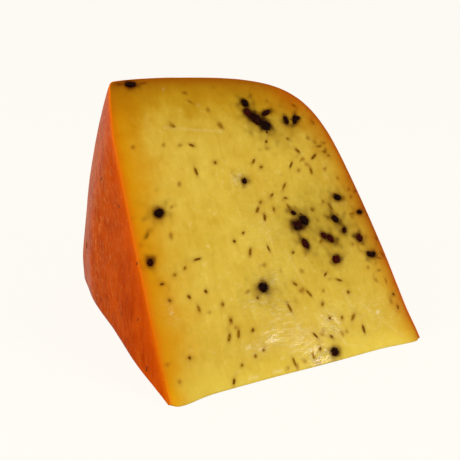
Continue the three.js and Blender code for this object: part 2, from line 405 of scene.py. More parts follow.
def slopePoints(skin, tip, far):
    # the sloping cut without its border: it waves and ripples, and its foot spreads
    upSteps = body["upSteps"]
    slope = coonsFill(tip, skin[upSteps:far + 1, -1], skin[:upSteps + 1, -1], skin[far:, -1][::-1])
    inner = slope[1:-1, 1:-1].reshape(-1, 3)
    inner = inner - np.outer(footSpread(inner, tip), away)
    flat = slopeCoordinates(inner)
    fullFromTip, fullFromRim = knife["wavesFull"]
    fromTip = np.clip(flat[:, 1] / fullFromTip, 0, 1)
    fromRim = np.clip(nearest(inner, skin[:, -1]) / fullFromRim, 0, 1)
    lifted = cutWave(inner - np.outer(inner @ outOfFace, outOfFace)) * fromTip * fromRim
    lifted += rippleField(flat)[1] * np.clip(flat[:, 1] / knife["ripplesFull"], 0, 1)
    return inner + np.outer(lifted, outOfFace)


def boardSheet(points, outline, tip):
    # adds the underside, whose border points are already there, to the points
    found, triangles, origin = underside(points[outline])
    boardId = np.zeros(len(found), int)
    fresh = []
    for index, sources in enumerate(origin):
        given = [source for source in sources if source < len(outline)]
        boardId[index] = outline[given[0]] if given else len(points) + len(fresh)
        if not given:
            fresh.append((found[index][0], found[index][1], 0.0))
    fresh = np.array(fresh)
    near = np.interp(nearest(fresh, tip), (0, knife["liftReach"]), (1, 0)) ** 2
    fresh[:, 2] = near * np.interp(fresh[:, 0], tip[:, 0], tip[:, 2])
    points = np.vstack([points, fresh])
    faces = []
    for triangle in triangles:
        ring = [boardId[corner] for corner in triangle]
        a, b, c = (points[corner][:2] for corner in ring)
        facesUp = (b[0] - a[0]) * (c[1] - a[1]) - (b[1] - a[1]) * (c[0] - a[0]) > 0
        faces.append(ring[::-1] if facesUp else ring)
    return points, faces, boardId


def pasteSolid(skin):
    # everything inside the coat, with both cut faces
    rows, columns = skin.shape[:2]
    upSteps, alongSteps = body["upSteps"], body["alongSteps"]
    far = rows - 1 - upSteps
    tip = tipPoints(skin[0, 0], skin[-1, 0])
    foot = tip[1:-1] - np.outer(footSpread(tip[1:-1], tip), away)
    points = np.vstack([gridPoints(skin), foot])
    skinId = gridIds(rows, columns, 0)
    tipId = np.concatenate([[0], skinId.max() + np.arange(1, alongSteps), [skinId.max()]])
    inner = slopePoints(skin, tip, far)
    slopeId = np.zeros((alongSteps + 1, upSteps + 1), int)
    slopeId[1:-1, 1:-1] = len(points) + np.arange(len(inner)).reshape(alongSteps - 1, upSteps - 1)
    slopeId[:, 0] = tipId
    slopeId[0, :] = skinId[:upSteps + 1, -1]
    slopeId[-1, :] = skinId[far:, -1][::-1]
    slopeId[:, -1] = skinId[upSteps:far + 1, -1]
    points = np.vstack([points, inner])
    outline = np.concatenate([tipId, skinId[1:-1, 0][::-1]])
    points, boardFaces, boardId = boardSheet(points, outline, points[tipId])
    faces = gridFaces(skinId) + gridFaces(slopeId.T) + boardFaces
    return points, faces, np.unique(slopeId), np.unique(np.concatenate([boardId, outline]))


def addToScene(name, data):
    made = bpy.data.objects.new(name, data)
    bpy.context.scene.collection.objects.link(made)
    return made


def makeMesh(name, points, faces):
    mesh = bpy.data.meshes.new(name)
    rings = [tuple(map(int, ring)) for ring in faces]
    mesh.from_pydata([tuple(point) for point in toWorld(points)], [], rings)
    mesh.polygons.foreach_set("use_smooth", [True] * len(faces))
    mesh.set_sharp_from_angle(angle=math.radians(body["sharpFrom"]))
    mesh.update()
    return addToScene(name, mesh)


def storeValues(mesh, name, values):
    layer = mesh.attributes.new(name, "FLOAT", "POINT")
    layer.data.foreach_set("value", np.asarray(values, dtype=np.float32))


cloves = {  # cloves and clove pieces on the sloping cut
    "rise": 0.9,
    "mostOut": 0.6,  # how much of a low lump's height stands out at most
    "flatness": 0.7,  # height as a share of the width
    "roughness": [(1.5, 0.26), (3.2, 0.28), (8.0, 0.10)],  # how fine and how strong the unevenness is
    "crumbs": 1,  # small crumbs beside each lump, at most
    "crumbSize": (0.5, 1.1),
    "crumbReach": (0.2, 1.0),
    "crumbForm": (0.2, 1.6),  # how deep it sits and how long it is, as shares of its size
    "crumbRedness": 0.6,  # at least
    "crumbVariants": 20,  # so many numbers for the crumbs of each lump
    "lowestCrumb": 1.5,
    "drawSeed": 5,
    "black": ("#0C0301", "#220903"),
    "red": ("#240402", "#500E04"),
    "patterns": {"mottle": (1.2, 4.0, 0.7, 0.35, 0.70)},
    "bumps": [(0.7, 4.0, 0.7, 0.25, 0.8)],
    # along, up, length, width, turn, how strong and how wide its stain is, how red it is
    "lumps": [
        (81.6, 113.6, 6.4, 5.0, 140, 0.50, 3.6, 0.0),
        (77.6, 117.2, 8.6, 4.8, 133, 0.55, 4.0, 0.2),
        (74.6, 120.6, 4.6, 3.6, 110, 0.45, 3.4, 0.7),
        (74.4, 125.6, 4.2, 3.4, 110, 0.40, 3.2, 0.0),
        (84.2, 119.8, 4.8, 2.2, 22, 0.15, 1.8, 0.3),
        (98.8, 115.0, 4.4, 2.2, 62, 0.30, 2.2, 0.0),
        (100.2, 115.6, 3.6, 1.8, 12, 0.15, 1.6, 0.1),
        (93.8, 115.0, 3.8, 2.2, 100, 0.35, 2.4, 0.2),
        (82.4, 63.4, 5.8, 5.2, 15, 0.50, 3.6, 0.3),
        (86.4, 65.0, 5.0, 4.8, 60, 0.45, 3.2, 0.0),
        (82.2, 69.2, 2.4, 1.8, 150, 0.25, 1.8, 0.2),
        (83.4, 54.2, 5.2, 3.2, 108, 0.25, 2.4, 0.6),
        (17.2, 78.2, 4.6, 3.8, 20, 0.60, 3.4, 0.0),
        (55.8, 38.4, 4.6, 4.2, 0, 0.55, 3.6, 0.0),
        (97.2, 44.4, 4.6, 3.8, 20, 0.25, 2.2, 0.9),
        (81.2, 4.0, 4.0, 3.8, 0, 0.30, 2.4, 0.2),
        (103.6, 63.4, 4.2, 2.8, 125, 0.45, 3.0, 0.1),
        (106.6, 57.2, 2.8, 2.0, 60, 0.45, 3.2, 0.4),
        (108.8, 73.6, 3.8, 2.8, 160, 0.60, 3.0, 0.0),
        (118.6, 64.8, 2.8, 1.8, 5, 0.25, 2.0, 0.1),
        (97.6, 54.4, 4.0, 2.8, 115, 0.30, 2.6, 1.0),
        (94.6, 56.4, 3.2, 2.4, 130, 0.35, 3.2, 0.8),
        (113.6, 52.4, 3.8, 3.4, 100, 0.30, 2.0, 0.9),
        (116.2, 43.9, 2.6, 2.2, 140, 0.30, 2.2, 0.2),
        (118.2, 43.4, 2.8, 2.2, 20, 0.30, 2.2, 0.2),
        (7.6, 57.8, 3.0, 2.2, 70, 0.30, 3.0, 0.5),
        (20.0, 138.3, 4.6, 2.6, 0, 0.25, 2.4, 0.1),
        (62.0, 87.6, 2.4, 2.2, 60, 0.30, 2.2, 0.2),
    ],
}

cumin = {  # seeds on the sloping cut lie in streaks, as the curd was stirred
    "rise": 0.32,
    "length": (1.4, 4.2),
    "width": (1.0, 1.5),
    "shortness": 2.5,  # the higher, the more of the seeds are short
    "evenness": (0.7, 1.0),  # how much of its height, and of its rise, a seed gets
    "lowest": 2.4,
    "sway": 35.0,
    "sunkShare": 0.25,  # these lie under the surface and only shimmer through
    "drawSeed": 32005,
    "colours": ("#744A02", "#AC7E06"),
    "dark": "#543002",
    "patterns": {"dark": (0.9, 3.0, 0.6, 0.35, 0.65, 0.0, 0.5)},
    "ridges": (0.35, 2.0),  # width and detail
    "ridgeStretch": (1.0, 1.0, 3.0),
    "ridgeDepth": (0.12, 0.6),
    # start along and up, end along and up, how many, how far they stray, their turn
    "streaks": [
        (45, 133, 46.5, 128.5, 2, 0.4, 160), (35, 117, 58, 115.6, 2, 0.3, 150),
        (13.7, 109, 41.5, 107.5, 3, 0.8, 120), (40, 94.6, 50.3, 98.2, 2, 0.3, 80),
        (69.6, 96.6, 72.8, 93, 2, 0.3, 30), (79.8, 105.5, 102.6, 104.8, 3, 0.5, 20),
        (106.4, 103, 111.4, 94.5, 4, 1.0, 20), (94.4, 98.4, 98.7, 87.8, 4, 0.8, 120),
        (88.3, 92.4, 102, 95.2, 3, 1.6, 40), (109, 113, 113, 83.4, 3, 0.6, 70),
        (66.4, 77, 81.6, 82.4, 3, 0.6, 35), (64.4, 73.4, 66.4, 69, 2, 0.3, 60),
        (80.4, 76.6, 80.8, 72.6, 2, 0.4, 130), (72.8, 72.4, 92.8, 69.6, 2, 0.3, 95),
        (100, 72.6, 103.7, 69.2, 2, 0.3, 120), (48.6, 60.8, 53.8, 63.6, 2, 0.3, 20),
        (54.4, 55, 64, 55.2, 2, 0.3, 100), (75.6, 51.4, 77, 42.4, 2, 0.4, 50),
        (91.6, 53.5, 109, 50.2, 3, 0.5, 10), (9.4, 69.6, 20.4, 68, 2, 0.5, 60),
        (10, 48, 28.4, 55.4, 4, 0.8, 30), (11.8, 41.5, 28, 41.2, 3, 0.9, 120),
        (23.6, 35, 34.6, 34.6, 2, 0.3, 110), (36.6, 27.4, 38.4, 21.6, 3, 0.5, 70),
        (33.4, 20.6, 45, 21.3, 2, 0.3, 60), (42.8, 11, 47.3, 12.2, 2, 0.3, 40),
        (6.8, 8.4, 13.6, 16.2, 2, 0.3, 110), (29.7, 3, 35.5, 8.6, 2, 0.3, 40),
        (56, 2.8, 74, 6.2, 5, 0.9, 80), (51.4, 34.6, 65.7, 27.5, 2, 0.3, 85),
        (71.9, 37.2, 77.3, 31.2, 3, 0.5, 110), (85.3, 31.2, 89, 38.8, 2, 0.3, 10),
        (95.4, 34.8, 98.2, 28.6, 2, 0.3, 130), (82.2, 25.6, 84.3, 19, 2, 0.3, 60),
        (90.8, 18, 96.5, 17, 2, 0.3, 70), (74.2, 12, 99.2, 10.1, 4, 1.0, 110),
        (113, 37.6, 115.4, 31.4, 2, 0.3, 110), (121.2, 29.4, 123, 16.5, 3, 0.6, 100),
    ],
}


def seededNumbers(state):
    while True:
        state = (state * 1664525 + 1013904223) % 4294967296
        yield state / 4294967296


def between(low, high, share):
    return low + (high - low) * share


def streakSeeds():
    # every seed of the streaks: first those that show, then the sunk ones
    draw = seededNumbers(cumin["drawSeed"])
    shown, sunk = [], []
    for alongStart, upStart, alongEnd, upEnd, count, stray, middleTurn in cumin["streaks"]:
        for index in range(count):
            share = index / (count - 1)
            along = between(alongStart, alongEnd, share) + stray * (2 * next(draw) - 1)
            up = between(upStart, upEnd, share) + stray * (2 * next(draw) - 1)
            length = between(*cumin["length"], next(draw) ** cumin["shortness"])
            width = between(*cumin["width"], next(draw))
            turn = middleTurn + cumin["sway"] * (2 * next(draw) - 1)
            seed = (along, max(up, cumin["lowest"]), length, width, turn)
            (sunk if next(draw) < cumin["sunkShare"] else shown).append(seed)
    return shown, sunk


boardSpices = {  # the cut that lies on the board has spices too, cut flush
    "cloves": 15,
    "cloveLength": (4.0, 6.5),
    "cloveWidth": (0.5, 0.95),  # as a share of the length
    "cloveMiddle": 0.36,  # how high its middle lies over the board, as a share of the width
    "cloveStain": (0.4, 3.2),  # strength and width
    "reddest": 0.6,
    "firstVariant": 60,  # makes them unlike the cloves on the sloping cut
    "seeds": 105,
    "drawSeed": 29,
    "rise": 0.04,
    "margin": 5.0,
}


def inside(point, outline):
    (x, y), a, b = point, outline, np.roll(outline, -1, 0)
    crosses = (a[:, 1] > y) != (b[:, 1] > y)
    a, b = a[crosses], b[crosses]
    at = a[:, 0] + (y - a[:, 1]) / (b[:, 1] - a[:, 1]) * (b[:, 0] - a[:, 0])
    return int(np.sum(x < at)) % 2 == 1


def boardPlaces(outline, count, choose):
    # places on the underside, well inside its outline
    low, high = outline.min(0), outline.max(0)
    places = []
    while len(places) < count:
        point = np.array([choose.uniform(low[0], high[0]), choose.uniform(low[1], high[1])])
        if inside(point, outline) and nearest(point[None], outline)[0] > boardSpices["margin"]:
            places.append(point)
    return places


def planBoard(outline):
    choose = random.Random(boardSpices["drawSeed"])
    lumps = []
    for x, y in boardPlaces(outline, boardSpices["cloves"], choose):
        length = choose.uniform(*boardSpices["cloveLength"])
        width = length * choose.uniform(*boardSpices["cloveWidth"])
        turn = choose.uniform(0, 180)
        redness = choose.random() * boardSpices["reddest"]
        lumps.append((x, y, length, width, turn, *boardSpices["cloveStain"], redness))
    seeds = []
    for x, y in boardPlaces(outline, boardSpices["seeds"], choose):
        length, width = choose.uniform(*cumin["length"]), choose.uniform(*cumin["width"])
        seeds.append((x, y, length, width, choose.uniform(0, 180)))
    return lumps, seeds


stains = {  # each stain's strength and reach
    "cloveShadow": (0.95, 1.15),  # the dark rim right beside a clove
    "cuminShadow": (0.60, 0.45),
    "cuminStain": (0.20, 1.5),
    "sunkSeed": (0.75, 0.6),
    "smudge": (0.75, 0.6),
    "sunkForm": (0.45, 0.6),  # how much of a sunk seed's length and width shows
    "smudgeForm": (0.6, 0.6),
    "wobble": (3.0, 0.9),  # width and strength of the unevenness round a stain
    "suddenness": 1.3,  # how suddenly a stain ends
    # faint brown marks where a spice lies deeper: along, up, length, width, turn
    "smudges": [
        (30.2, 90, 2, 1.6, 60), (23.8, 80.2, 1.8, 1, 20), (35.6, 107.8, 1.4, 1, 0),
        (54.5, 123.5, 1.6, 1.4, 90), (47.8, 38, 2.2, 1.2, 20), (59.5, 48, 1.2, 1, 60),
        (92, 89.4, 1.6, 1.2, 40), (107, 88.5, 1.8, 1.2, 20), (101, 122.4, 2.4, 1.6, 150),
        (111.4, 101.6, 1.8, 1.6, 0), (116.8, 76.8, 1.8, 1.2, 60), (116.6, 72.8, 1.6, 1.2, 90),
        (120.1, 75.2, 1.8, 1.4, 30), (113.8, 64.6, 3.2, 1.4, 10), (118.8, 35.4, 2.4, 1, 0),
        (120.1, 20, 2.4, 1.4, 95), (88, 11, 3.2, 1.4, 115), (77.4, 12.8, 2.2, 1.4, 130),
        (73.5, 33.4, 2.2, 1.4, 150), (36.3, 26.8, 2.4, 1.6, 70), (3.8, 15.8, 1.2, 0.8, 0),
        (2.7, 58.8, 1.6, 1.2, 90), (60.7, 2.4, 2.4, 1.4, 80), (71.4, 1.2, 2, 1, 160),
        (123.2, 50.4, 2.6, 1, 95), (123.6, 42.6, 4, 1.2, 110), (121.6, 41, 3.4, 1, 160),
        (105.8, 65.2, 1.8, 1.4, 160), (14.6, 139, 4, 1.6, 170), (26, 138.6, 5, 1.4, 5),
        (95.2, 98.4, 2.6, 1.6, 110), (58.6, 115.4, 2.6, 1.6, 120),
    ],
    # greyer, more stained stretches of the cut: along, up, half length, half height, strength
    "clouds": [(98, 62, 26, 24, 0.9), (90, 112, 16, 10, 0.65), (60, 35, 8, 7, 0.35),
               (123, 66, 8, 22, 0.7), (110, 98, 7, 16, 0.35)],
}


def stainAround(flat, wobble, along, up, length, width, turn, strength, size):
    # how strongly the stain round one spice colours each point of a cut
    angle = math.radians(turn)
    offset = flat - np.array([along, up])
    lengthwise = offset[:, 0] * math.cos(angle) + offset[:, 1] * math.sin(angle)
    sideways = -offset[:, 0] * math.sin(angle) + offset[:, 1] * math.cos(angle)
    reach = np.sqrt((lengthwise / (length / 2)) ** 2 + (sideways / (width / 2)) ** 2)
    gap = np.maximum(reach - 1, 0) * (length + width) / 4
    return strength * np.exp(-(gap * (1 + wobble) / size) ** stains["suddenness"])


def shrunk(spices, form):
    # what shows of spices that lie under the surface
    shorter, narrower = form
    return [(along, up, length * shorter, width * narrower, turn)
            for along, up, length, width, turn in spices]


def spiceStains(flat, lumps, shown, sunk):
    wobbleSize, wobbleStrength = stains["wobble"]
    wobble = wobbleStrength * softNoise(np.pad(flat, ((0, 0), (0, 1))), wobbleSize, 6)
    smudges = stains["smudges"] if sunk else []  # only the sloping cut has these and sunk seeds

    def around(spices, *look):
        return [stainAround(flat, wobble, *spice, *look) for spice in spices]

    dark = around([lump[:5] for lump in lumps], *stains["cloveShadow"])
    wide = around([lump[:7] for lump in lumps])
    brown = around(shown, *stains["cuminShadow"]) + around(shown, *stains["cuminStain"])
    brown += around(shrunk(sunk, stains["sunkForm"]), *stains["sunkSeed"])
    brown += around(shrunk(smudges, stains["smudgeForm"]), *stains["smudge"])
    return blend(dark), blend(wide), blend(brown)


def shadeClouds(flat):
    return blend([strength * oval(flat, *place) for *place, strength in stains["clouds"]])


def paintPaste(mesh, points, skin, slope, board, boardCloves, boardSeeds):
    # what colours the paste by its place is kept as values on its points
    upSteps = body["upSteps"]
    far = skin.shape[0] - 1 - upSteps
    values = {name: np.zeros(len(points)) for name in
              ("baseDistance", "rimDistance", "crownDistance", "tipDistance", "cloveDark", "cloveStain",
               "cuminStain", "rippled", "scoredAndGlinting", "clouded")}
    shoulder = upSteps + round(pasteLook["rimShare"] * body["alongSteps"])
    for part, column in ((slope, -1), (board, 0)):
        edge = skin[:, column]
        values["baseDistance"][part] = nearest(points[part], edge[:upSteps + 1])
        values["rimDistance"][part] = nearest(points[part], edge[upSteps:shoulder])
        values["crownDistance"][part] = nearest(points[part], edge[shoulder:])
        values["tipDistance"][part] = np.maximum(points[part] @ (away, upFace)[column], 0)
    flat = slopeCoordinates(points[slope])
    for name, extra, height in pasteLook["tipFading"]:
        values[name][slope] *= 1 + extra * np.exp(-(flat[:, 1] / height) ** 2)
    spiced = spiceStains(flat, cloves["lumps"], *streakSeeds())
    spicedBoard = spiceStains(points[board][:, :2], boardCloves, boardSeeds, [])
    for name, onSlopeCut, onBoardCut in zip(("cloveDark", "cloveStain", "cuminStain"), spiced, spicedBoard):
        values[name][board] = onBoardCut
        values[name][slope] = onSlopeCut
    values["rippled"][slope] = rippleField(flat)[0]
    values["scoredAndGlinting"][slope] = scoreField(flat)
    values["clouded"][slope] = shadeClouds(flat)
    for name, numbers in values.items():
        storeValues(mesh, name, numbers)


def paint(code):
    # a screen colour as the light it stands for
    parts = [int(code[start:start + 2], 16) / 255 for start in (1, 3, 5)]
    return tuple(part / 12.92 if part <= 0.04045 else ((part + 0.055) / 1.055) ** 2.4
                 for part in parts) + (1.0,)


class Finish:
    # a material's nodes, with short ways to add the ones used here
    # a look's patterns: patch size, detail, roughness, the values that are spread out, what they become
    # a look's bumps: patch size, detail, roughness, depth, strength

    def __init__(self, name, look=None):
        self.look = look
        self.material = bpy.data.materials.new(name)
        self.material.use_nodes = True
        self.tree = self.material.node_tree
        self.shader = self.tree.nodes["Principled BSDF"]
        self.objectPlace = self.add("ShaderNodeTexCoord").outputs["Object"]

    def add(self, kind, **settings):
        made = self.tree.nodes.new(kind)
        for name, value in settings.items():
            setattr(made, name, value)
        return made

    def wire(self, source, target):
        if isinstance(source, bpy.types.NodeSocket):
            self.tree.links.new(source, target)
        else:
            target.default_value = source

    def value(self, name):
        return self.add("ShaderNodeAttribute", attribute_name=name).outputs["Fac"]

    def placed(self, turn=(0.0, 0.0, 0.0), stretch=(1.0, 1.0, 1.0)):
        # turned back by the turn, with each pattern this many times as long along each axis
        mapping = self.add("ShaderNodeMapping", vector_type="TEXTURE")
        mapping.inputs["Rotation"].default_value = turn
        mapping.inputs["Scale"].default_value = stretch
        self.wire(self.objectPlace, mapping.inputs["Vector"])
        return mapping.outputs["Vector"]

    def noise(self, size, detail=3.0, roughness=0.5, place=None, warp=0.0):
        # size is the width of one patch in millimetres
        made = self.add("ShaderNodeTexNoise")
        for name, value in (("Scale", 1 / (size * mm)), ("Detail", detail), ("Roughness", roughness),
                            ("Distortion", warp), ("Vector", place or self.objectPlace)):
            self.wire(value, made.inputs[name])
        return made.outputs["Fac"]

    def math(self, operation, first, second=0.0):
        made = self.add("ShaderNodeMath", operation=operation)
        self.wire(first, made.inputs[0])
        self.wire(second, made.inputs[1])
        return made.outputs[0]

    def spread(self, value, low, high, newLow=0.0, newHigh=1.0):
        made = self.add("ShaderNodeMapRange")
        for name, number in (("Value", value), ("From Min", low), ("From Max", high),
                             ("To Min", newLow), ("To Max", newHigh)):
            self.wire(number, made.inputs[name])
        return made.outputs["Result"]

    def pattern(self, name, place=None, warp=0.0):
        size, detail, roughness, *values = self.look["patterns"][name]
        return self.spread(self.noise(size, detail, roughness, place, warp), *values)

    def fading(self, distance, width, power=1.0, strength=1.0):
        # strongest at no distance, and a third of that one width away; a higher power ends more suddenly
        reach = self.math("POWER", self.math("MULTIPLY", distance, 1 / width), power)
        share = self.math("EXPONENT", self.math("MULTIPLY", reach, -1.0))
        return self.math("MULTIPLY", share, strength)

    def mix(self, share, first, second, kind="MIX"):
        made = self.add("ShaderNodeMix", data_type="RGBA", blend_type=kind)
        for place, source in ((0, share), (6, first), (7, second)):
            self.wire(paint(source) if isinstance(source, str) else source, made.inputs[place])
        return made.outputs[2]

    def bump(self, height, distance, strength=1.0, under=None):
        made = self.add("ShaderNodeBump")
        made.inputs["Distance"].default_value = distance * mm
        self.wire(strength, made.inputs["Strength"])
        self.wire(height, made.inputs["Height"])
        if under is not None:
            self.wire(under, made.inputs["Normal"])
        return made.outputs["Normal"]

    def roughen(self):
        # lays the look's bumps one over the other
        normal = None
        for size, detail, roughness, depth, strength in self.look["bumps"]:
            normal = self.bump(self.noise(size, detail, roughness), depth, strength, normal)
        self.set(Normal=normal)

    def set(self, **values):
        for name, value in values.items():
            self.wire(value, self.shader.inputs[name.replace("_", " ")])


pasteLook = {
    "light": "#E6CB54",
    "deep": "#CCA72C",
    # the pale fleck colour is also laid on as painted glints along the strokes
    "fleck": "#F4E8A8",
    # colour of the pale knife lines and of the painted glints on the nicks
    "paleMarkAndGlint": "#FFF4CC",
    "rimShare": 0.9,  # how much of the way to the shoulder's middle counts as beside the rim
    # borders get narrower towards the tip edge: which distance, by how much, how far up
    "tipFading": [("baseDistance", 1.2, 12.0), ("crownDistance", 0.35, 30.0)],
    # borders: which distance, colour, reach, how suddenly it ends, strength, how it is laid on
    "borders": [
        # the first row makes it paler towards the tip edge: a painted glow of light thrown up from the board
        # onto the foot
        ("tipDistance", "#F3DC58", 9.0, 2.0, 0.40, "MIX"),
        ("baseDistance", "#FFF800", 9.0, 1.6, 0.92, "MULTIPLY"),
        ("baseDistance", "#D68F04", 13.6, 1.7, 0.98, "MIX"),  # here the coat's colour has soaked in deepest
        ("baseDistance", "#DE7A02", 2.0, 2.0, 0.9, "MIX"),
        ("rimDistance", "#FFF400", 19.0, 3.0, 0.75, "MULTIPLY"),
        ("rimDistance", "#A46A04", 16.0, 1.25, 1.0, "MIX"),  # drier and darker beside the rim
        ("rimDistance", "#983E02", 2.6, 1.6, 0.5, "MIX"),
        ("crownDistance", "#FFF400", 10.0, 3.0, 0.6, "MULTIPLY"),
        ("crownDistance", "#BA6206", 7.8, 1.35, 0.9, "MIX"),
        ("crownDistance", "#A84404", 1.4, 2.0, 0.6, "MIX"),
    ],
    # tints laid over everything: which value, how it is bent, colour
    "tints": [
        ("clouded", 1.0, "#DAD4BC"),
        ("cuminStain", 1.0, "#AA7610"),
        ("cloveStain", 1.0, "#ACAC9E"),
        ("cloveDark", 0.7, "#DEC49A"),
        ("cloveDark", 1.4, "#50302E"),
    ],
    "patterns": {
        "cloud": (26.0, 2.0, 0.5, 0.32, 0.68),
        "mottle": (5.5, 4.0, 0.6, 0.30, 0.70),
        "curd": (4.0, 3.0, 0.6, 0.35, 0.65),
        "grain": (1.5, 3.0, 0.65, 0.35, 0.65),
        "drag": (1.6, 2.0, 0.6, 0.0, 1.0),
        "fleck": (2.8, 2.0, 0.5, 0.60, 0.78, 0.0, 0.25),
        "strokeAndGlint": (0.8, 3.0, 0.6, 0.51, 0.63),
        "wander": (8.0, 3.0, 0.5, 0.30, 0.70, 0.76, 1.26),
        "broken": (1.3, 3.0, 0.6, 0.35, 0.60, 0.20, 0.90),
        "patchiness": (2.2, 3.0, 0.6, 0.30, 0.70, 0.75, 1.0),
        "matte": (5.0, 3.0, 0.5, 0.30, 0.70, 0.36, 0.50),
    },
    # how many times as long these are along the cut, up it and out of it, and how warped
    "lying": {
        "curd": ((1.0, 2.6, 1.0), 0.6),
        "drag": ((14.0, 1.0, 1.0), 0.0),
        "strokeAndGlint": ((3.4, 1.0, 1.0), 0.4),
    },
    "shares": [("cloud", 0.34), ("mottle", 0.32), ("curd", 0.26), ("grain", 0.08)],  # in the colour
    # how deep and how strong each pattern is as relief
    "depths": [("grain", 0.08, 0.35), ("mottle", 0.30, 0.3), ("drag", 0.12, 0.35), ("strokeAndGlint", 0.25, 0.8)],
    # how strongly the strokes' painted glints show in the colour
    "paintedGlintStrength": 0.7,
    "rippleRoughness": -0.20,  # added to that of the rest
    "oiliness": 0.6,
}


def makePaste():
    look, finish = pasteLook, Finish("cheesePaste", pasteLook)
    patterns = {}
    for name in look["patterns"]:
        stretch, warp = look["lying"].get(name, (None, 0.0))
        place = finish.placed((lean, 0.0, skew), stretch) if stretch else None  # along the sloping cut
        patterns[name] = finish.pattern(name, place, warp)
    rippled, scoredAndGlinting = finish.value("rippled"), finish.value("scoredAndGlinting")
    patterns["strokeAndGlint"] = finish.math("MULTIPLY", patterns["strokeAndGlint"], rippled)
    patchy = 0.0
    for name, share in look["shares"]:
        patchy = finish.math("ADD", finish.math("MULTIPLY", patterns[name], share), patchy)
    colour = finish.mix(patchy, look["deep"], look["light"])
    flecks = finish.math("MULTIPLY", patterns["fleck"], patterns["mottle"])
    colour = finish.mix(flecks, colour, look["fleck"])
    for name, code, reach, power, strength, kind in look["borders"]:
        distance = finish.math("MULTIPLY", finish.value(name), patterns["wander"])
        colour = finish.mix(finish.fading(distance, reach, power, strength), colour, code, kind)
    # painted glints: short pale strokes over the rippled stretches, which also give relief
    paintedGlints = finish.math("MULTIPLY", patterns["strokeAndGlint"], look["paintedGlintStrength"])
    colour = finish.mix(paintedGlints, colour, look["fleck"])
    # the pale knife lines, and the painted glints on the nicks
    colour = finish.mix(finish.math("MULTIPLY", scoredAndGlinting, patterns["broken"]), colour, look["paleMarkAndGlint"])
    for name, power, code in look["tints"]:
        share = finish.math("POWER", finish.value(name), power)
        share = finish.math("MULTIPLY", share, patterns["patchiness"])
        colour = finish.mix(share, colour, code, "MULTIPLY")
    smoother = finish.math("MULTIPLY", rippled, look["rippleRoughness"])
    finish.set(Base_Color=colour, Roughness=finish.math("ADD", patterns["matte"], smoother))
    finish.set(Subsurface_Weight=0.15, Subsurface_Scale=0.002, Subsurface_Radius=(1.0, 0.6, 0.2))
    finish.set(IOR=1.45, Specular_IOR_Level=0.03)
    oily = finish.math("MULTIPLY", finish.math("MAXIMUM", rippled, scoredAndGlinting), look["oiliness"])
    finish.set(Coat_Weight=oily, Coat_Roughness=0.12, Coat_IOR=1.45)
    normal = None
    for name, depth, strength in look["depths"]:
        normal = finish.bump(patterns[name], depth, strength, normal)
    finish.set(Normal=normal)
    return finish.material


coatLook = {
    "orange": "#CA4D06",
    "deep": "#AE3704",
    "pale": "#D8681C",
    "dark": "#882A02",
    "bloomAndSheen": "#D68D50",  # pale flecks, partly a painted sheen, which get more towards the rim
    "bloomAndSheenFrom": 50.0,
    "bloomAndSheenFull": 125.0,
    "bloomAndSheenBeyond": 0.4,  # how much of it is left on the rim and the top
    "bloomAndSheenRows": 8,  # over so many rows of faces past the bottom corner it gets less
    # where the sloping cut has thinned the coat, partly a painted glow of light shining through its thin
    # edge: colour, reach, how suddenly it ends, strength
    "thinnedAndLitThrough": [("#D65202", 11.0, 1.3, 0.85), ("#E07202", 2.4, 1.5, 0.75)],
    "patterns": {
        "blotch": (12.0, 3.0, 0.55, 0.34, 0.66),
        "patch": (4.6, 4.0, 0.65, 0.50, 0.70, 0.0, 0.38),
        "streak": (2.2, 2.0, 0.5, 0.40, 0.72, 0.0, 0.35),
        "fleck": (2.8, 4.0, 0.65, 0.46, 0.64, 0.0, 0.42),
    },
    "upright": (1.0, 1.0, 4.0),  # how many times as long the streaks are
    "matte": (0.0, 0.45, 0.22, 0.30),  # the flecks are a little rougher
    "bumps": [(2.2, 3.0, 0.6, 0.15, 0.4), (7.0, 2.0, 0.5, 0.45, 0.3), (0.8, 2.0, 0.6, 0.03, 0.3)],
}


def makeCoat():
    look, finish = coatLook, Finish("orangeCoat", coatLook)
    fleck = finish.pattern("fleck")
    colour = finish.mix(finish.pattern("blotch"), look["deep"], look["orange"])
    colour = finish.mix(finish.pattern("patch"), colour, look["dark"])
    streak = finish.pattern("streak", finish.placed(stretch=look["upright"]))
    colour = finish.mix(streak, colour, look["pale"])
    # pale flecks towards the rim, partly a painted sheen on the outer base and bevel
    colour = finish.mix(finish.math("MULTIPLY", fleck, finish.value("bloomAndSheen")), colour, look["bloomAndSheen"])
    # brighter orange beside the cut: a thinner coat, partly a painted glow of light through its thin edge
    for code, reach, power, strength in look["thinnedAndLitThrough"]:
        share = finish.fading(finish.value("cutDistance"), reach, power, strength)
        colour = finish.mix(share, colour, code)
    finish.set(Base_Color=colour, Roughness=finish.spread(fleck, *look["matte"]))
    finish.set(Subsurface_Weight=0.1, Subsurface_Scale=0.0015, Subsurface_Radius=(1.0, 0.35, 0.1))
    finish.set(IOR=1.45, Specular_IOR_Level=0.028)
    finish.roughen()
    return finish.material


def paintCoat(mesh, skin, fromCut):
    # how strongly the pale flecks, partly a painted sheen, show: more and more out towards the rim
    radius = np.hypot(skin[..., 1], skin[..., 2])
    start, full = coatLook["bloomAndSheenFrom"], coatLook["bloomAndSheenFull"]
    bloomAndSheen = np.clip((radius - start) / (full - start), 0, 1)
    pastBase = np.arange(len(skin)) - body["upSteps"]
    bloomAndSheen *= np.interp(pastBase, (0, coatLook["bloomAndSheenRows"]), (1, coatLook["bloomAndSheenBeyond"]))[:, None]
    for name, grid in (("cutDistance", np.maximum(fromCut, 0)), ("bloomAndSheen", bloomAndSheen)):
        values = np.concatenate([grid[:1, 0], grid[1:-1].ravel(), grid[-1:, 0]])
        storeValues(mesh, name, np.concatenate([values, values]))  # the coat's inner side has them too


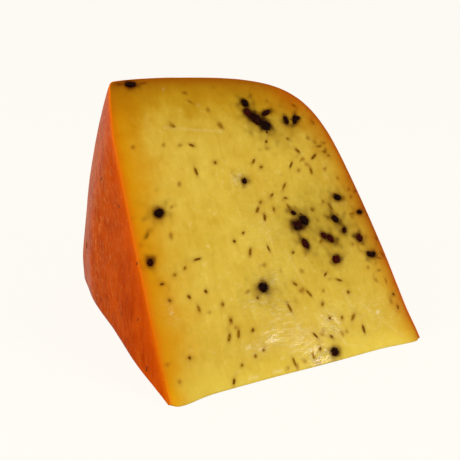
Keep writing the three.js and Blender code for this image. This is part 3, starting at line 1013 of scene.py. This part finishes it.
def makeCloveFinish():
    finish = Finish("darkClove", cloves)
    mottle = finish.pattern("mottle")
    black, red = (finish.mix(mottle, *cloves[name]) for name in ("black", "red"))
    finish.set(Base_Color=finish.mix(finish.value("redness"), black, red))
    finish.set(Roughness=0.35, Specular_IOR_Level=0.03)
    finish.roughen()
    return finish.material


def makeCuminFinish():
    finish = Finish("brownCumin", cumin)
    colour = finish.mix(finish.value("seedShade"), *cumin["colours"])
    colour = finish.mix(finish.pattern("dark"), colour, cumin["dark"])
    finish.set(Base_Color=colour, Roughness=0.45, Specular_IOR_Level=0.02)
    ridges = finish.noise(*cumin["ridges"], place=finish.placed(stretch=cumin["ridgeStretch"]))
    finish.set(Normal=finish.bump(ridges, *cumin["ridgeDepth"]))
    return finish.material


def basis(outward, lengthwise):
    sideways = np.cross(lengthwise, outward)
    return Matrix([(outward[row], sideways[row], lengthwise[row]) for row in range(3)])


def turned(first, second, turn):
    angle = math.radians(turn)
    return first * math.cos(angle) + second * math.sin(angle)


def addLump(mould, place, outward, lengthwise, size, variant, redness, divisions=4):
    # one rough lump, added to the mould; its size is its height, width and length
    made = bmesh.ops.create_icosphere(mould, subdivisions=divisions, radius=1.0)
    layer = mould.verts.layers.float["redness"]
    turn = basis(outward, lengthwise)
    shift = Vector((variant * 3.1, variant * 1.7, variant * 2.3))  # so no two lumps are alike
    for corner in made["verts"]:
        around = corner.co.copy()
        swell = 1.0
        for fineness, strength in cloves["roughness"]:
            swell += strength * noise.noise(around * fineness + shift)
        shaped = Vector([around[axis] * size[axis] / 2 * swell for axis in range(3)])
        corner.co = turn @ shaped + Vector(place)
        corner[layer] = redness


def surfaceOver(points, slope):
    # tells how far the finished cut stands out at any place along and up it
    flat, out = slopeCoordinates(points[slope]), points[slope] @ outOfFace
    return lambda along, up: out[np.argmin(np.sum((flat - (along, up)) ** 2, 1))]


def addBoardLumps(mould, lumps):
    # cut flush with the board
    for index, (x, y, length, width, turn, _, _, redness) in enumerate(lumps):
        place = across * x + away * y - down * width * boardSpices["cloveMiddle"]
        size, variant = (width, width, length), boardSpices["firstVariant"] + index
        addLump(mould, place, down, turned(across, away, turn), size, variant, redness)
    parts = mould.verts[:] + mould.edges[:] + mould.faces[:]
    cut = bmesh.ops.bisect_plane(mould, geom=parts, plane_co=down * boardSpices["rise"],
                                 plane_no=down, clear_outer=True)
    border = [part for part in cut["geom_cut"] if isinstance(part, bmesh.types.BMEdge)]
    bmesh.ops.holes_fill(mould, edges=border)
    bmesh.ops.recalc_face_normals(mould, faces=mould.faces)


def addCrumb(mould, choose, surface, lump, variant):
    # lies close beside its lump
    along, up, length, width, _, _, _, redness = lump
    heading = choose.uniform(0, 360)
    reach = (length + width) / 4 + choose.uniform(*cloves["crumbReach"])
    size = choose.uniform(*cloves["crumbSize"])
    depth, stretch = cloves["crumbForm"]
    place = (along + reach * math.cos(math.radians(heading)),
             max(up + reach * math.sin(math.radians(heading)), cloves["lowestCrumb"]))
    addLump(mould, onSlope(*place, surface(*place) - size * depth), outOfFace,
            turned(tipEdge, upFace, heading), (size, size, size * stretch), variant,
            max(redness, cloves["crumbRedness"]), divisions=1)


def makeCloves(material, boardLumps, surface):
    mould = bmesh.new()
    mould.verts.layers.float.new("redness")
    addBoardLumps(mould, boardLumps)
    choose = random.Random(cloves["drawSeed"])
    for index, lump in enumerate(cloves["lumps"]):
        along, up, length, width, turn, _, _, redness = lump
        height = width * cloves["flatness"]
        rise = min(cloves["rise"], cloves["mostOut"] * height)
        place = onSlope(along, up, surface(along, up) + rise - height / 2)
        size = (height, width, length)
        addLump(mould, place, outOfFace, turned(tipEdge, upFace, turn), size, index, redness)
        for crumb in range(choose.randint(0, cloves["crumbs"])):
            addCrumb(mould, choose, surface, lump, cloves["crumbVariants"] * index + crumb)
    for face in mould.faces:
        face.smooth = True
    for corner in mould.verts:
        corner.co = Vector(toWorld(corner.co))
    mesh = bpy.data.meshes.new("cloves")
    mould.to_mesh(mesh)
    mould.free()
    mesh.materials.append(material)
    return addToScene("cloves", mesh)


seedForm = {  # one seed, before it is scaled
    "sides": 8,
    "rings": 6,
    "bend": 0.10,
    "bluntness": 3.2,  # 2 is a plain egg shape, and more fills out its ends
    "unevenness": 0.08 * mm,
    "seed": 3,
}


def seedTree(material):
    # sets one seed on each point, by the point's own turn and size
    tree = bpy.data.node_groups.new("seedsOnPoints", "GeometryNodeTree")
    for side in ("INPUT", "OUTPUT"):
        tree.interface.new_socket(name="Geometry", in_out=side, socket_type="NodeSocketGeometry")
    sockets = {}
    for name, value in seedForm.items():
        kind = "NodeSocketInt" if isinstance(value, int) else "NodeSocketFloat"
        made = tree.interface.new_socket(name=name.capitalize(), in_out="INPUT", socket_type=kind)
        made.default_value = value
        sockets[name] = made
    given = tree.nodes.new("NodeGroupInput").outputs
    result = tree.nodes.new("NodeGroupOutput")
    link = tree.links.new

    def add(kind, wires, **settings):
        made = tree.nodes.new(kind)
        for name, value in settings.items():
            setattr(made, name, value)
        for name, source in wires.items():
            if isinstance(source, bpy.types.NodeSocket):
                link(source, made.inputs[name])
            else:
                made.inputs[name].default_value = source
        return made.outputs

    def named(name):
        return add("GeometryNodeInputNamedAttribute", {"Name": name}, data_type="FLOAT_VECTOR")["Attribute"]

    def reckon(operation, first, second=0.0):
        return add("ShaderNodeMath", {0: first, 1: second}, operation=operation)[0]

    ball = add("GeometryNodeMeshUVSphere",
               {"Segments": given["Sides"], "Rings": given["Rings"], "Radius": 0.5})
    place = add("GeometryNodeInputPosition", {})["Position"]
    height = add("ShaderNodeSeparateXYZ", {"Vector": place})["Z"]
    reach = reckon("MULTIPLY", reckon("ABSOLUTE", height), 2.0)  # 0 at the seed's middle, 1 at its ends
    full = reckon("SUBTRACT", 1.0, reckon("POWER", reach, given["Bluntness"]))
    egg = reckon("SUBTRACT", 1.001, reckon("POWER", reach, 2.0))  # just over 1, so it isn't 0 at the ends
    widened = reckon("SQRT", reckon("DIVIDE", full, egg))
    spread = add("ShaderNodeCombineXYZ", {"X": widened, "Y": widened, "Z": 1.0})[0]
    blunt = add("ShaderNodeVectorMath", {0: place, 1: spread}, operation="MULTIPLY")[0]
    curve = reckon("MULTIPLY", reckon("POWER", height, 2.0), given["Bend"])
    sway = add("ShaderNodeCombineXYZ", {"Y": curve})[0]
    formed = add("ShaderNodeVectorMath", {0: blunt, 1: sway}, operation="ADD")[0]
    bent = add("GeometryNodeSetPosition", {"Geometry": ball["Mesh"], "Position": formed})[0]
    turn = add("FunctionNodeEulerToRotation", {0: named("seedTurn")})[0]
    placed = add("GeometryNodeInstanceOnPoints", {"Points": given["Geometry"], "Instance": bent,
                                                  "Rotation": turn, "Scale": named("seedSize")})[0]
    real = add("GeometryNodeRealizeInstances", {"Geometry": placed})[0]
    dentSize = 1.2 * mm
    rough = add("ShaderNodeTexNoise", {"Scale": 1 / dentSize, "W": given["Seed"]},
                noise_dimensions="4D")["Color"]
    centred = add("ShaderNodeVectorMath", {0: rough, 1: (0.5, 0.5, 0.5)}, operation="SUBTRACT")[0]
    offset = add("ShaderNodeVectorMath", {0: centred, "Scale": given["Unevenness"]}, operation="SCALE")[0]
    uneven = add("GeometryNodeSetPosition", {"Geometry": real, "Offset": offset})[0]
    smooth = add("GeometryNodeSetShadeSmooth", {"Geometry": uneven})[0]
    coloured = add("GeometryNodeSetMaterial", {"Geometry": smooth, "Material": material})[0]
    link(coloured, result.inputs["Geometry"])
    return tree, sockets


def growSeeds(name, material, seeds):
    # each seed: place, outward, lengthwise, size (height, width, length), shade
    mesh = bpy.data.meshes.new(name + "Points")
    mesh.from_pydata([tuple(toWorld(seed[0])) for seed in seeds], [], [])
    turns = [tuple(basis(seed[1], seed[2]).to_euler()) for seed in seeds]
    sizes = [np.array(seed[3]) * mm for seed in seeds]
    for label, rows in (("seedTurn", turns), ("seedSize", sizes)):
        values = mesh.attributes.new(label, "FLOAT_VECTOR", "POINT")
        values.data.foreach_set("vector", np.array(rows, dtype=np.float32).ravel())
    storeValues(mesh, "seedShade", [seed[4] for seed in seeds])
    holder = addToScene(name + "Points", mesh)
    tree, sockets = seedTree(material)
    grow = holder.modifiers.new("seeds", "NODES")
    grow.node_group = tree
    for label, value in seedForm.items():
        grow[sockets[label].identifier] = value
    bpy.context.view_layer.update()
    evaluated = holder.evaluated_get(bpy.context.evaluated_depsgraph_get())
    grown = bpy.data.meshes.new_from_object(evaluated)
    holder.modifiers.remove(grow)
    bpy.data.objects.remove(holder)
    grown.name = name
    return addToScene(name, grown)


def makeCumin(material, boardSeeds, surface):
    choose = random.Random(cumin["drawSeed"])
    seeds = []
    for along, up, length, width, turn in streakSeeds()[0]:
        height = width * choose.uniform(*cumin["evenness"])
        out = surface(along, up) + cumin["rise"] * choose.uniform(*cumin["evenness"])
        place, size = onSlope(along, up, out - height / 2), (height, width, length)
        seeds.append((place, outOfFace, turned(tipEdge, upFace, turn), size, choose.random()))
    for x, y, length, width, turn in boardSeeds:
        height = width / 2
        place = across * x + away * y - down * (height / 2 - boardSpices["rise"])
        size = (height, width, length)
        seeds.append((place, down, turned(across, away, turn), size, choose.random()))
    return growSeeds("cumin_seeds", material, seeds)


coatedSeeds = {  # seeds that show through the coat
    # on the base: distance from the tip corner, angle over the board, turn, length
    "onBase": [(112.2, 38.1, 80, 5.2), (126.4, 11.2, 75, 8.0), (24.4, 10.6, 80, 4.6), (59, 52.6, 95, 3.0),
               (93, 5, 20, 2.6), (42, 32, 95, 2.8), (60, 14, 110, 2.8), (88, 47, 40, 3.0)],
    "elsewhere": 34,
    # so many rows of faces past the bottom corner and before the tip's far end stay without seeds,
    # and so many columns beside the cuts
    "free": (8, 40, 3),
    "length": (2.2, 4.8),
    "thickness": 0.36,  # as a share of the length
    "drawSeed": 17,
    "rise": 0.28,
    "colours": ("#5C2C10", "#94380C"),
    "bumps": [(1.0, 2.0, 0.5, 0.1, 0.4)],
}


def makeCoatedSeedFinish():
    finish = Finish("coatedSeed", coatedSeeds)
    colour = finish.mix(finish.value("seedShade"), *coatedSeeds["colours"])
    finish.set(Base_Color=colour, Roughness=0.3, Specular_IOR_Level=0.2)
    finish.roughen()
    return finish.material


def coatedSpots(skin):
    # row and column of each seed on the skin, its turn and its length
    choose = random.Random(coatedSeeds["drawSeed"])
    rows, columns = skin.shape[:2]
    upSteps = body["upSteps"]
    baseRadius = np.hypot(skin[:upSteps, 0, 1], skin[:upSteps, 0, 2])
    spots = []
    for radius, angle, turn, length in coatedSeeds["onBase"]:
        row = int(np.argmin(np.abs(baseRadius - radius)))
        spots.append((row, round(angle / knife["wedgeAngle"] * (columns - 1)), turn, length))
    first, last, side = coatedSeeds["free"]
    for _ in range(coatedSeeds["elsewhere"]):
        spots.append((choose.randrange(upSteps + first, rows - last), choose.randrange(side, columns - side),
                      choose.uniform(0, 180), choose.uniform(*coatedSeeds["length"])))
    return spots, choose


def makeCoatedSeeds(material, skin, normal):
    spots, choose = coatedSpots(skin)
    seeds = []
    for row, column, turn, length in spots:
        outward = normal[row, column]
        along = unit(np.cross(np.cross(outward, skin[row + 1, column] - skin[row, column]), outward))
        width = length * coatedSeeds["thickness"]
        place = skin[row, column] + outward * (coatedSeeds["rise"] - width / 2)
        lengthwise = turned(along, np.cross(outward, along), turn)
        seeds.append((place, outward, lengthwise, (width, width, length), choose.random()))
    return growSeeds("coated_seeds", material, seeds)


skin, inner, normal, fromCut = coatGrids()
pastePoints, pasteFaces, slope, board = pasteSolid(inner)
paste = makeMesh("cheese_paste", pastePoints, pasteFaces)
boardCloves, boardSeeds = planBoard(inner[:, 0, :2])
paintPaste(paste.data, pastePoints, inner, slope, board, boardCloves, boardSeeds)
paste.data.materials.append(makePaste())
print("paste made")

coat = makeMesh("orange_coat", *coatShell(skin, inner))
paintCoat(coat.data, skin, fromCut)
coat.data.materials.append(makeCoat())
print("coat made")

cutSurface = surfaceOver(pastePoints, slope)
clovePiece = makeCloves(makeCloveFinish(), boardCloves, cutSurface)
cuminPiece = makeCumin(makeCuminFinish(), boardSeeds, cutSurface)
coatedPiece = makeCoatedSeeds(makeCoatedSeedFinish(), skin, normal)
print("spices made")

for piece, slot in ((paste, "cheese"), (coat, "coat"), (clovePiece, "clove"),
                    (cuminPiece, "cumin"), (coatedPiece, "cumin")):
    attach(piece, "root")
    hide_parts("cheese_wedge")


cameraView = {  # counted from the tip corner
    "place": (-97.4, -255.3, 165.7),
    "heading": 25.465,
    "downTilt": 18.776,
    "roll": 1.53,
    "lens": 62.61,
    "sensor": 36.0,
}


def makeCamera():
    heading, tilt, roll = (math.radians(cameraView[name]) for name in ("heading", "downTilt", "roll"))
    ahead = across * math.sin(heading) + away * math.cos(heading)
    forward = ahead * math.cos(tilt) + down * math.sin(tilt)
    level = unit(np.cross(down, forward))
    steep = np.cross(level, forward)
    right = level * math.cos(roll) + steep * math.sin(roll)
    up = steep * math.cos(roll) - level * math.sin(roll)
    data = bpy.data.cameras.new("camera")
    data.lens = cameraView["lens"]
    data.sensor_width = cameraView["sensor"]
    camera = addToScene("camera", data)
    turn = Matrix([(right[row], up[row], -forward[row]) for row in range(3)])
    camera.matrix_world = Matrix.Translation(Vector(toWorld(cameraView["place"]))) @ turn.to_4x4()
    bpy.context.scene.camera = camera
    bpy.context.scene.view_settings.view_transform = "Standard"


studio = {  # its lengths are in metres
    "floorSize": 12.0,
    "floor": "#FEFBF4",
    "floorGlow": 0.965,  # the rest of its light comes from the lamps, so that it takes a faint shadow
    "floorAlbedo": 0.05,
    "roomColour": "#FFFDF8",
    # how bright the room is, by how far up one looks: -1 is straight down, 1 straight up
    "room": [(-1.0, 0.004), (-0.20, 0.004), (-0.05, 0.50), (0.05, 0.50), (0.3, 0.42), (1.0, 0.42)],
    # it is bright beyond the wedge on the right, which gives the bevel its sheen:
    # along which axis, where it starts, where it is full, how bright
    "beyond": [("X", -0.18, 0.0, 0.45), ("Y", 0.70, 0.80, 1.0)],
    # name, place and aim counted from the wedge's middle, width, power, colour
    "lamps": [
        ("front", (0.55, -0.85, 0.45), (0.0, 0.0, 0.04), 0.40, 6.6, "#FFF4E0"),
        ("left", (-1.05, -0.15, 0.35), (0.0, 0.0, 0.05), 0.60, 9.5, "#FFF8EE"),
    ],
}


def makeFloor():
    half = studio["floorSize"] / 2
    corners = [(-half, -half, 0), (half, -half, 0), (half, half, 0), (-half, half, 0)]
    mesh = bpy.data.meshes.new("floor")
    mesh.from_pydata(corners, [], [(0, 1, 2, 3)])
    finish = Finish("paleFloor")
    colour = paint(studio["floor"])
    albedo = tuple(part * studio["floorAlbedo"] for part in colour[:3]) + (1.0,)
    finish.set(Base_Color=albedo, Roughness=0.9, Specular_IOR_Level=0.0)
    finish.set(Emission_Color=colour, Emission_Strength=studio["floorGlow"])
    mesh.materials.append(finish.material)
    floor = addToScene("floor", mesh)
    floor.visible_glossy = False  # keeps the white floor's glare and bounce off the coat
    floor.visible_diffuse = False
    floor.visible_shadow = False  # lets the room's light reach the wedge from below


def makeRoom():
    world = bpy.data.worlds.new("room")
    world.use_nodes = True
    nodes, links = world.node_tree.nodes, world.node_tree.links
    toward = nodes.new("ShaderNodeTexCoord")
    parts = nodes.new("ShaderNodeSeparateXYZ")
    ramp = nodes.new("ShaderNodeValToRGB")
    place = nodes.new("ShaderNodeMapRange")
    place.inputs["From Min"].default_value = -1.0
    elements = ramp.color_ramp.elements
    while len(elements) < len(studio["room"]):
        elements.new(0.5)
    for element, (height, light) in zip(elements, studio["room"]):
        element.position = (height + 1) / 2
        element.color = (light, light, light, 1.0)
    lobe, brighter = nodes.new("ShaderNodeMath"), nodes.new("ShaderNodeMath")
    lobe.operation, brighter.operation = "MULTIPLY", "MAXIMUM"
    for target, (axis, *values) in zip(lobe.inputs, studio["beyond"]):
        rise = nodes.new("ShaderNodeMapRange")
        for name, value in zip(("From Min", "From Max", "To Max"), values):
            rise.inputs[name].default_value = value
        links.new(parts.outputs[axis], rise.inputs["Value"])
        links.new(rise.outputs["Result"], target)
    links.new(toward.outputs["Generated"], parts.inputs[0])
    links.new(parts.outputs["Z"], place.inputs["Value"])
    links.new(place.outputs["Result"], ramp.inputs[0])
    links.new(ramp.outputs[0], brighter.inputs[0])
    links.new(lobe.outputs[0], brighter.inputs[1])
    nodes["Background"].inputs["Color"].default_value = paint(studio["roomColour"])
    links.new(brighter.outputs[0], nodes["Background"].inputs["Strength"])
    bpy.context.scene.world = world


def makeLamps():
    for name, place, aim, size, power, code in studio["lamps"]:
        data = bpy.data.lights.new(name, "AREA")
        data.size = size
        data.energy = power
        data.color = paint(code)[:3]
        lamp = addToScene(name, data)
        lamp.location = place
        lamp.rotation_euler = (Vector(aim) - Vector(place)).to_track_quat("-Z", "Y").to_euler()


makeCamera()
makeFloor()
makeRoom()
makeLamps()
print("studio made")
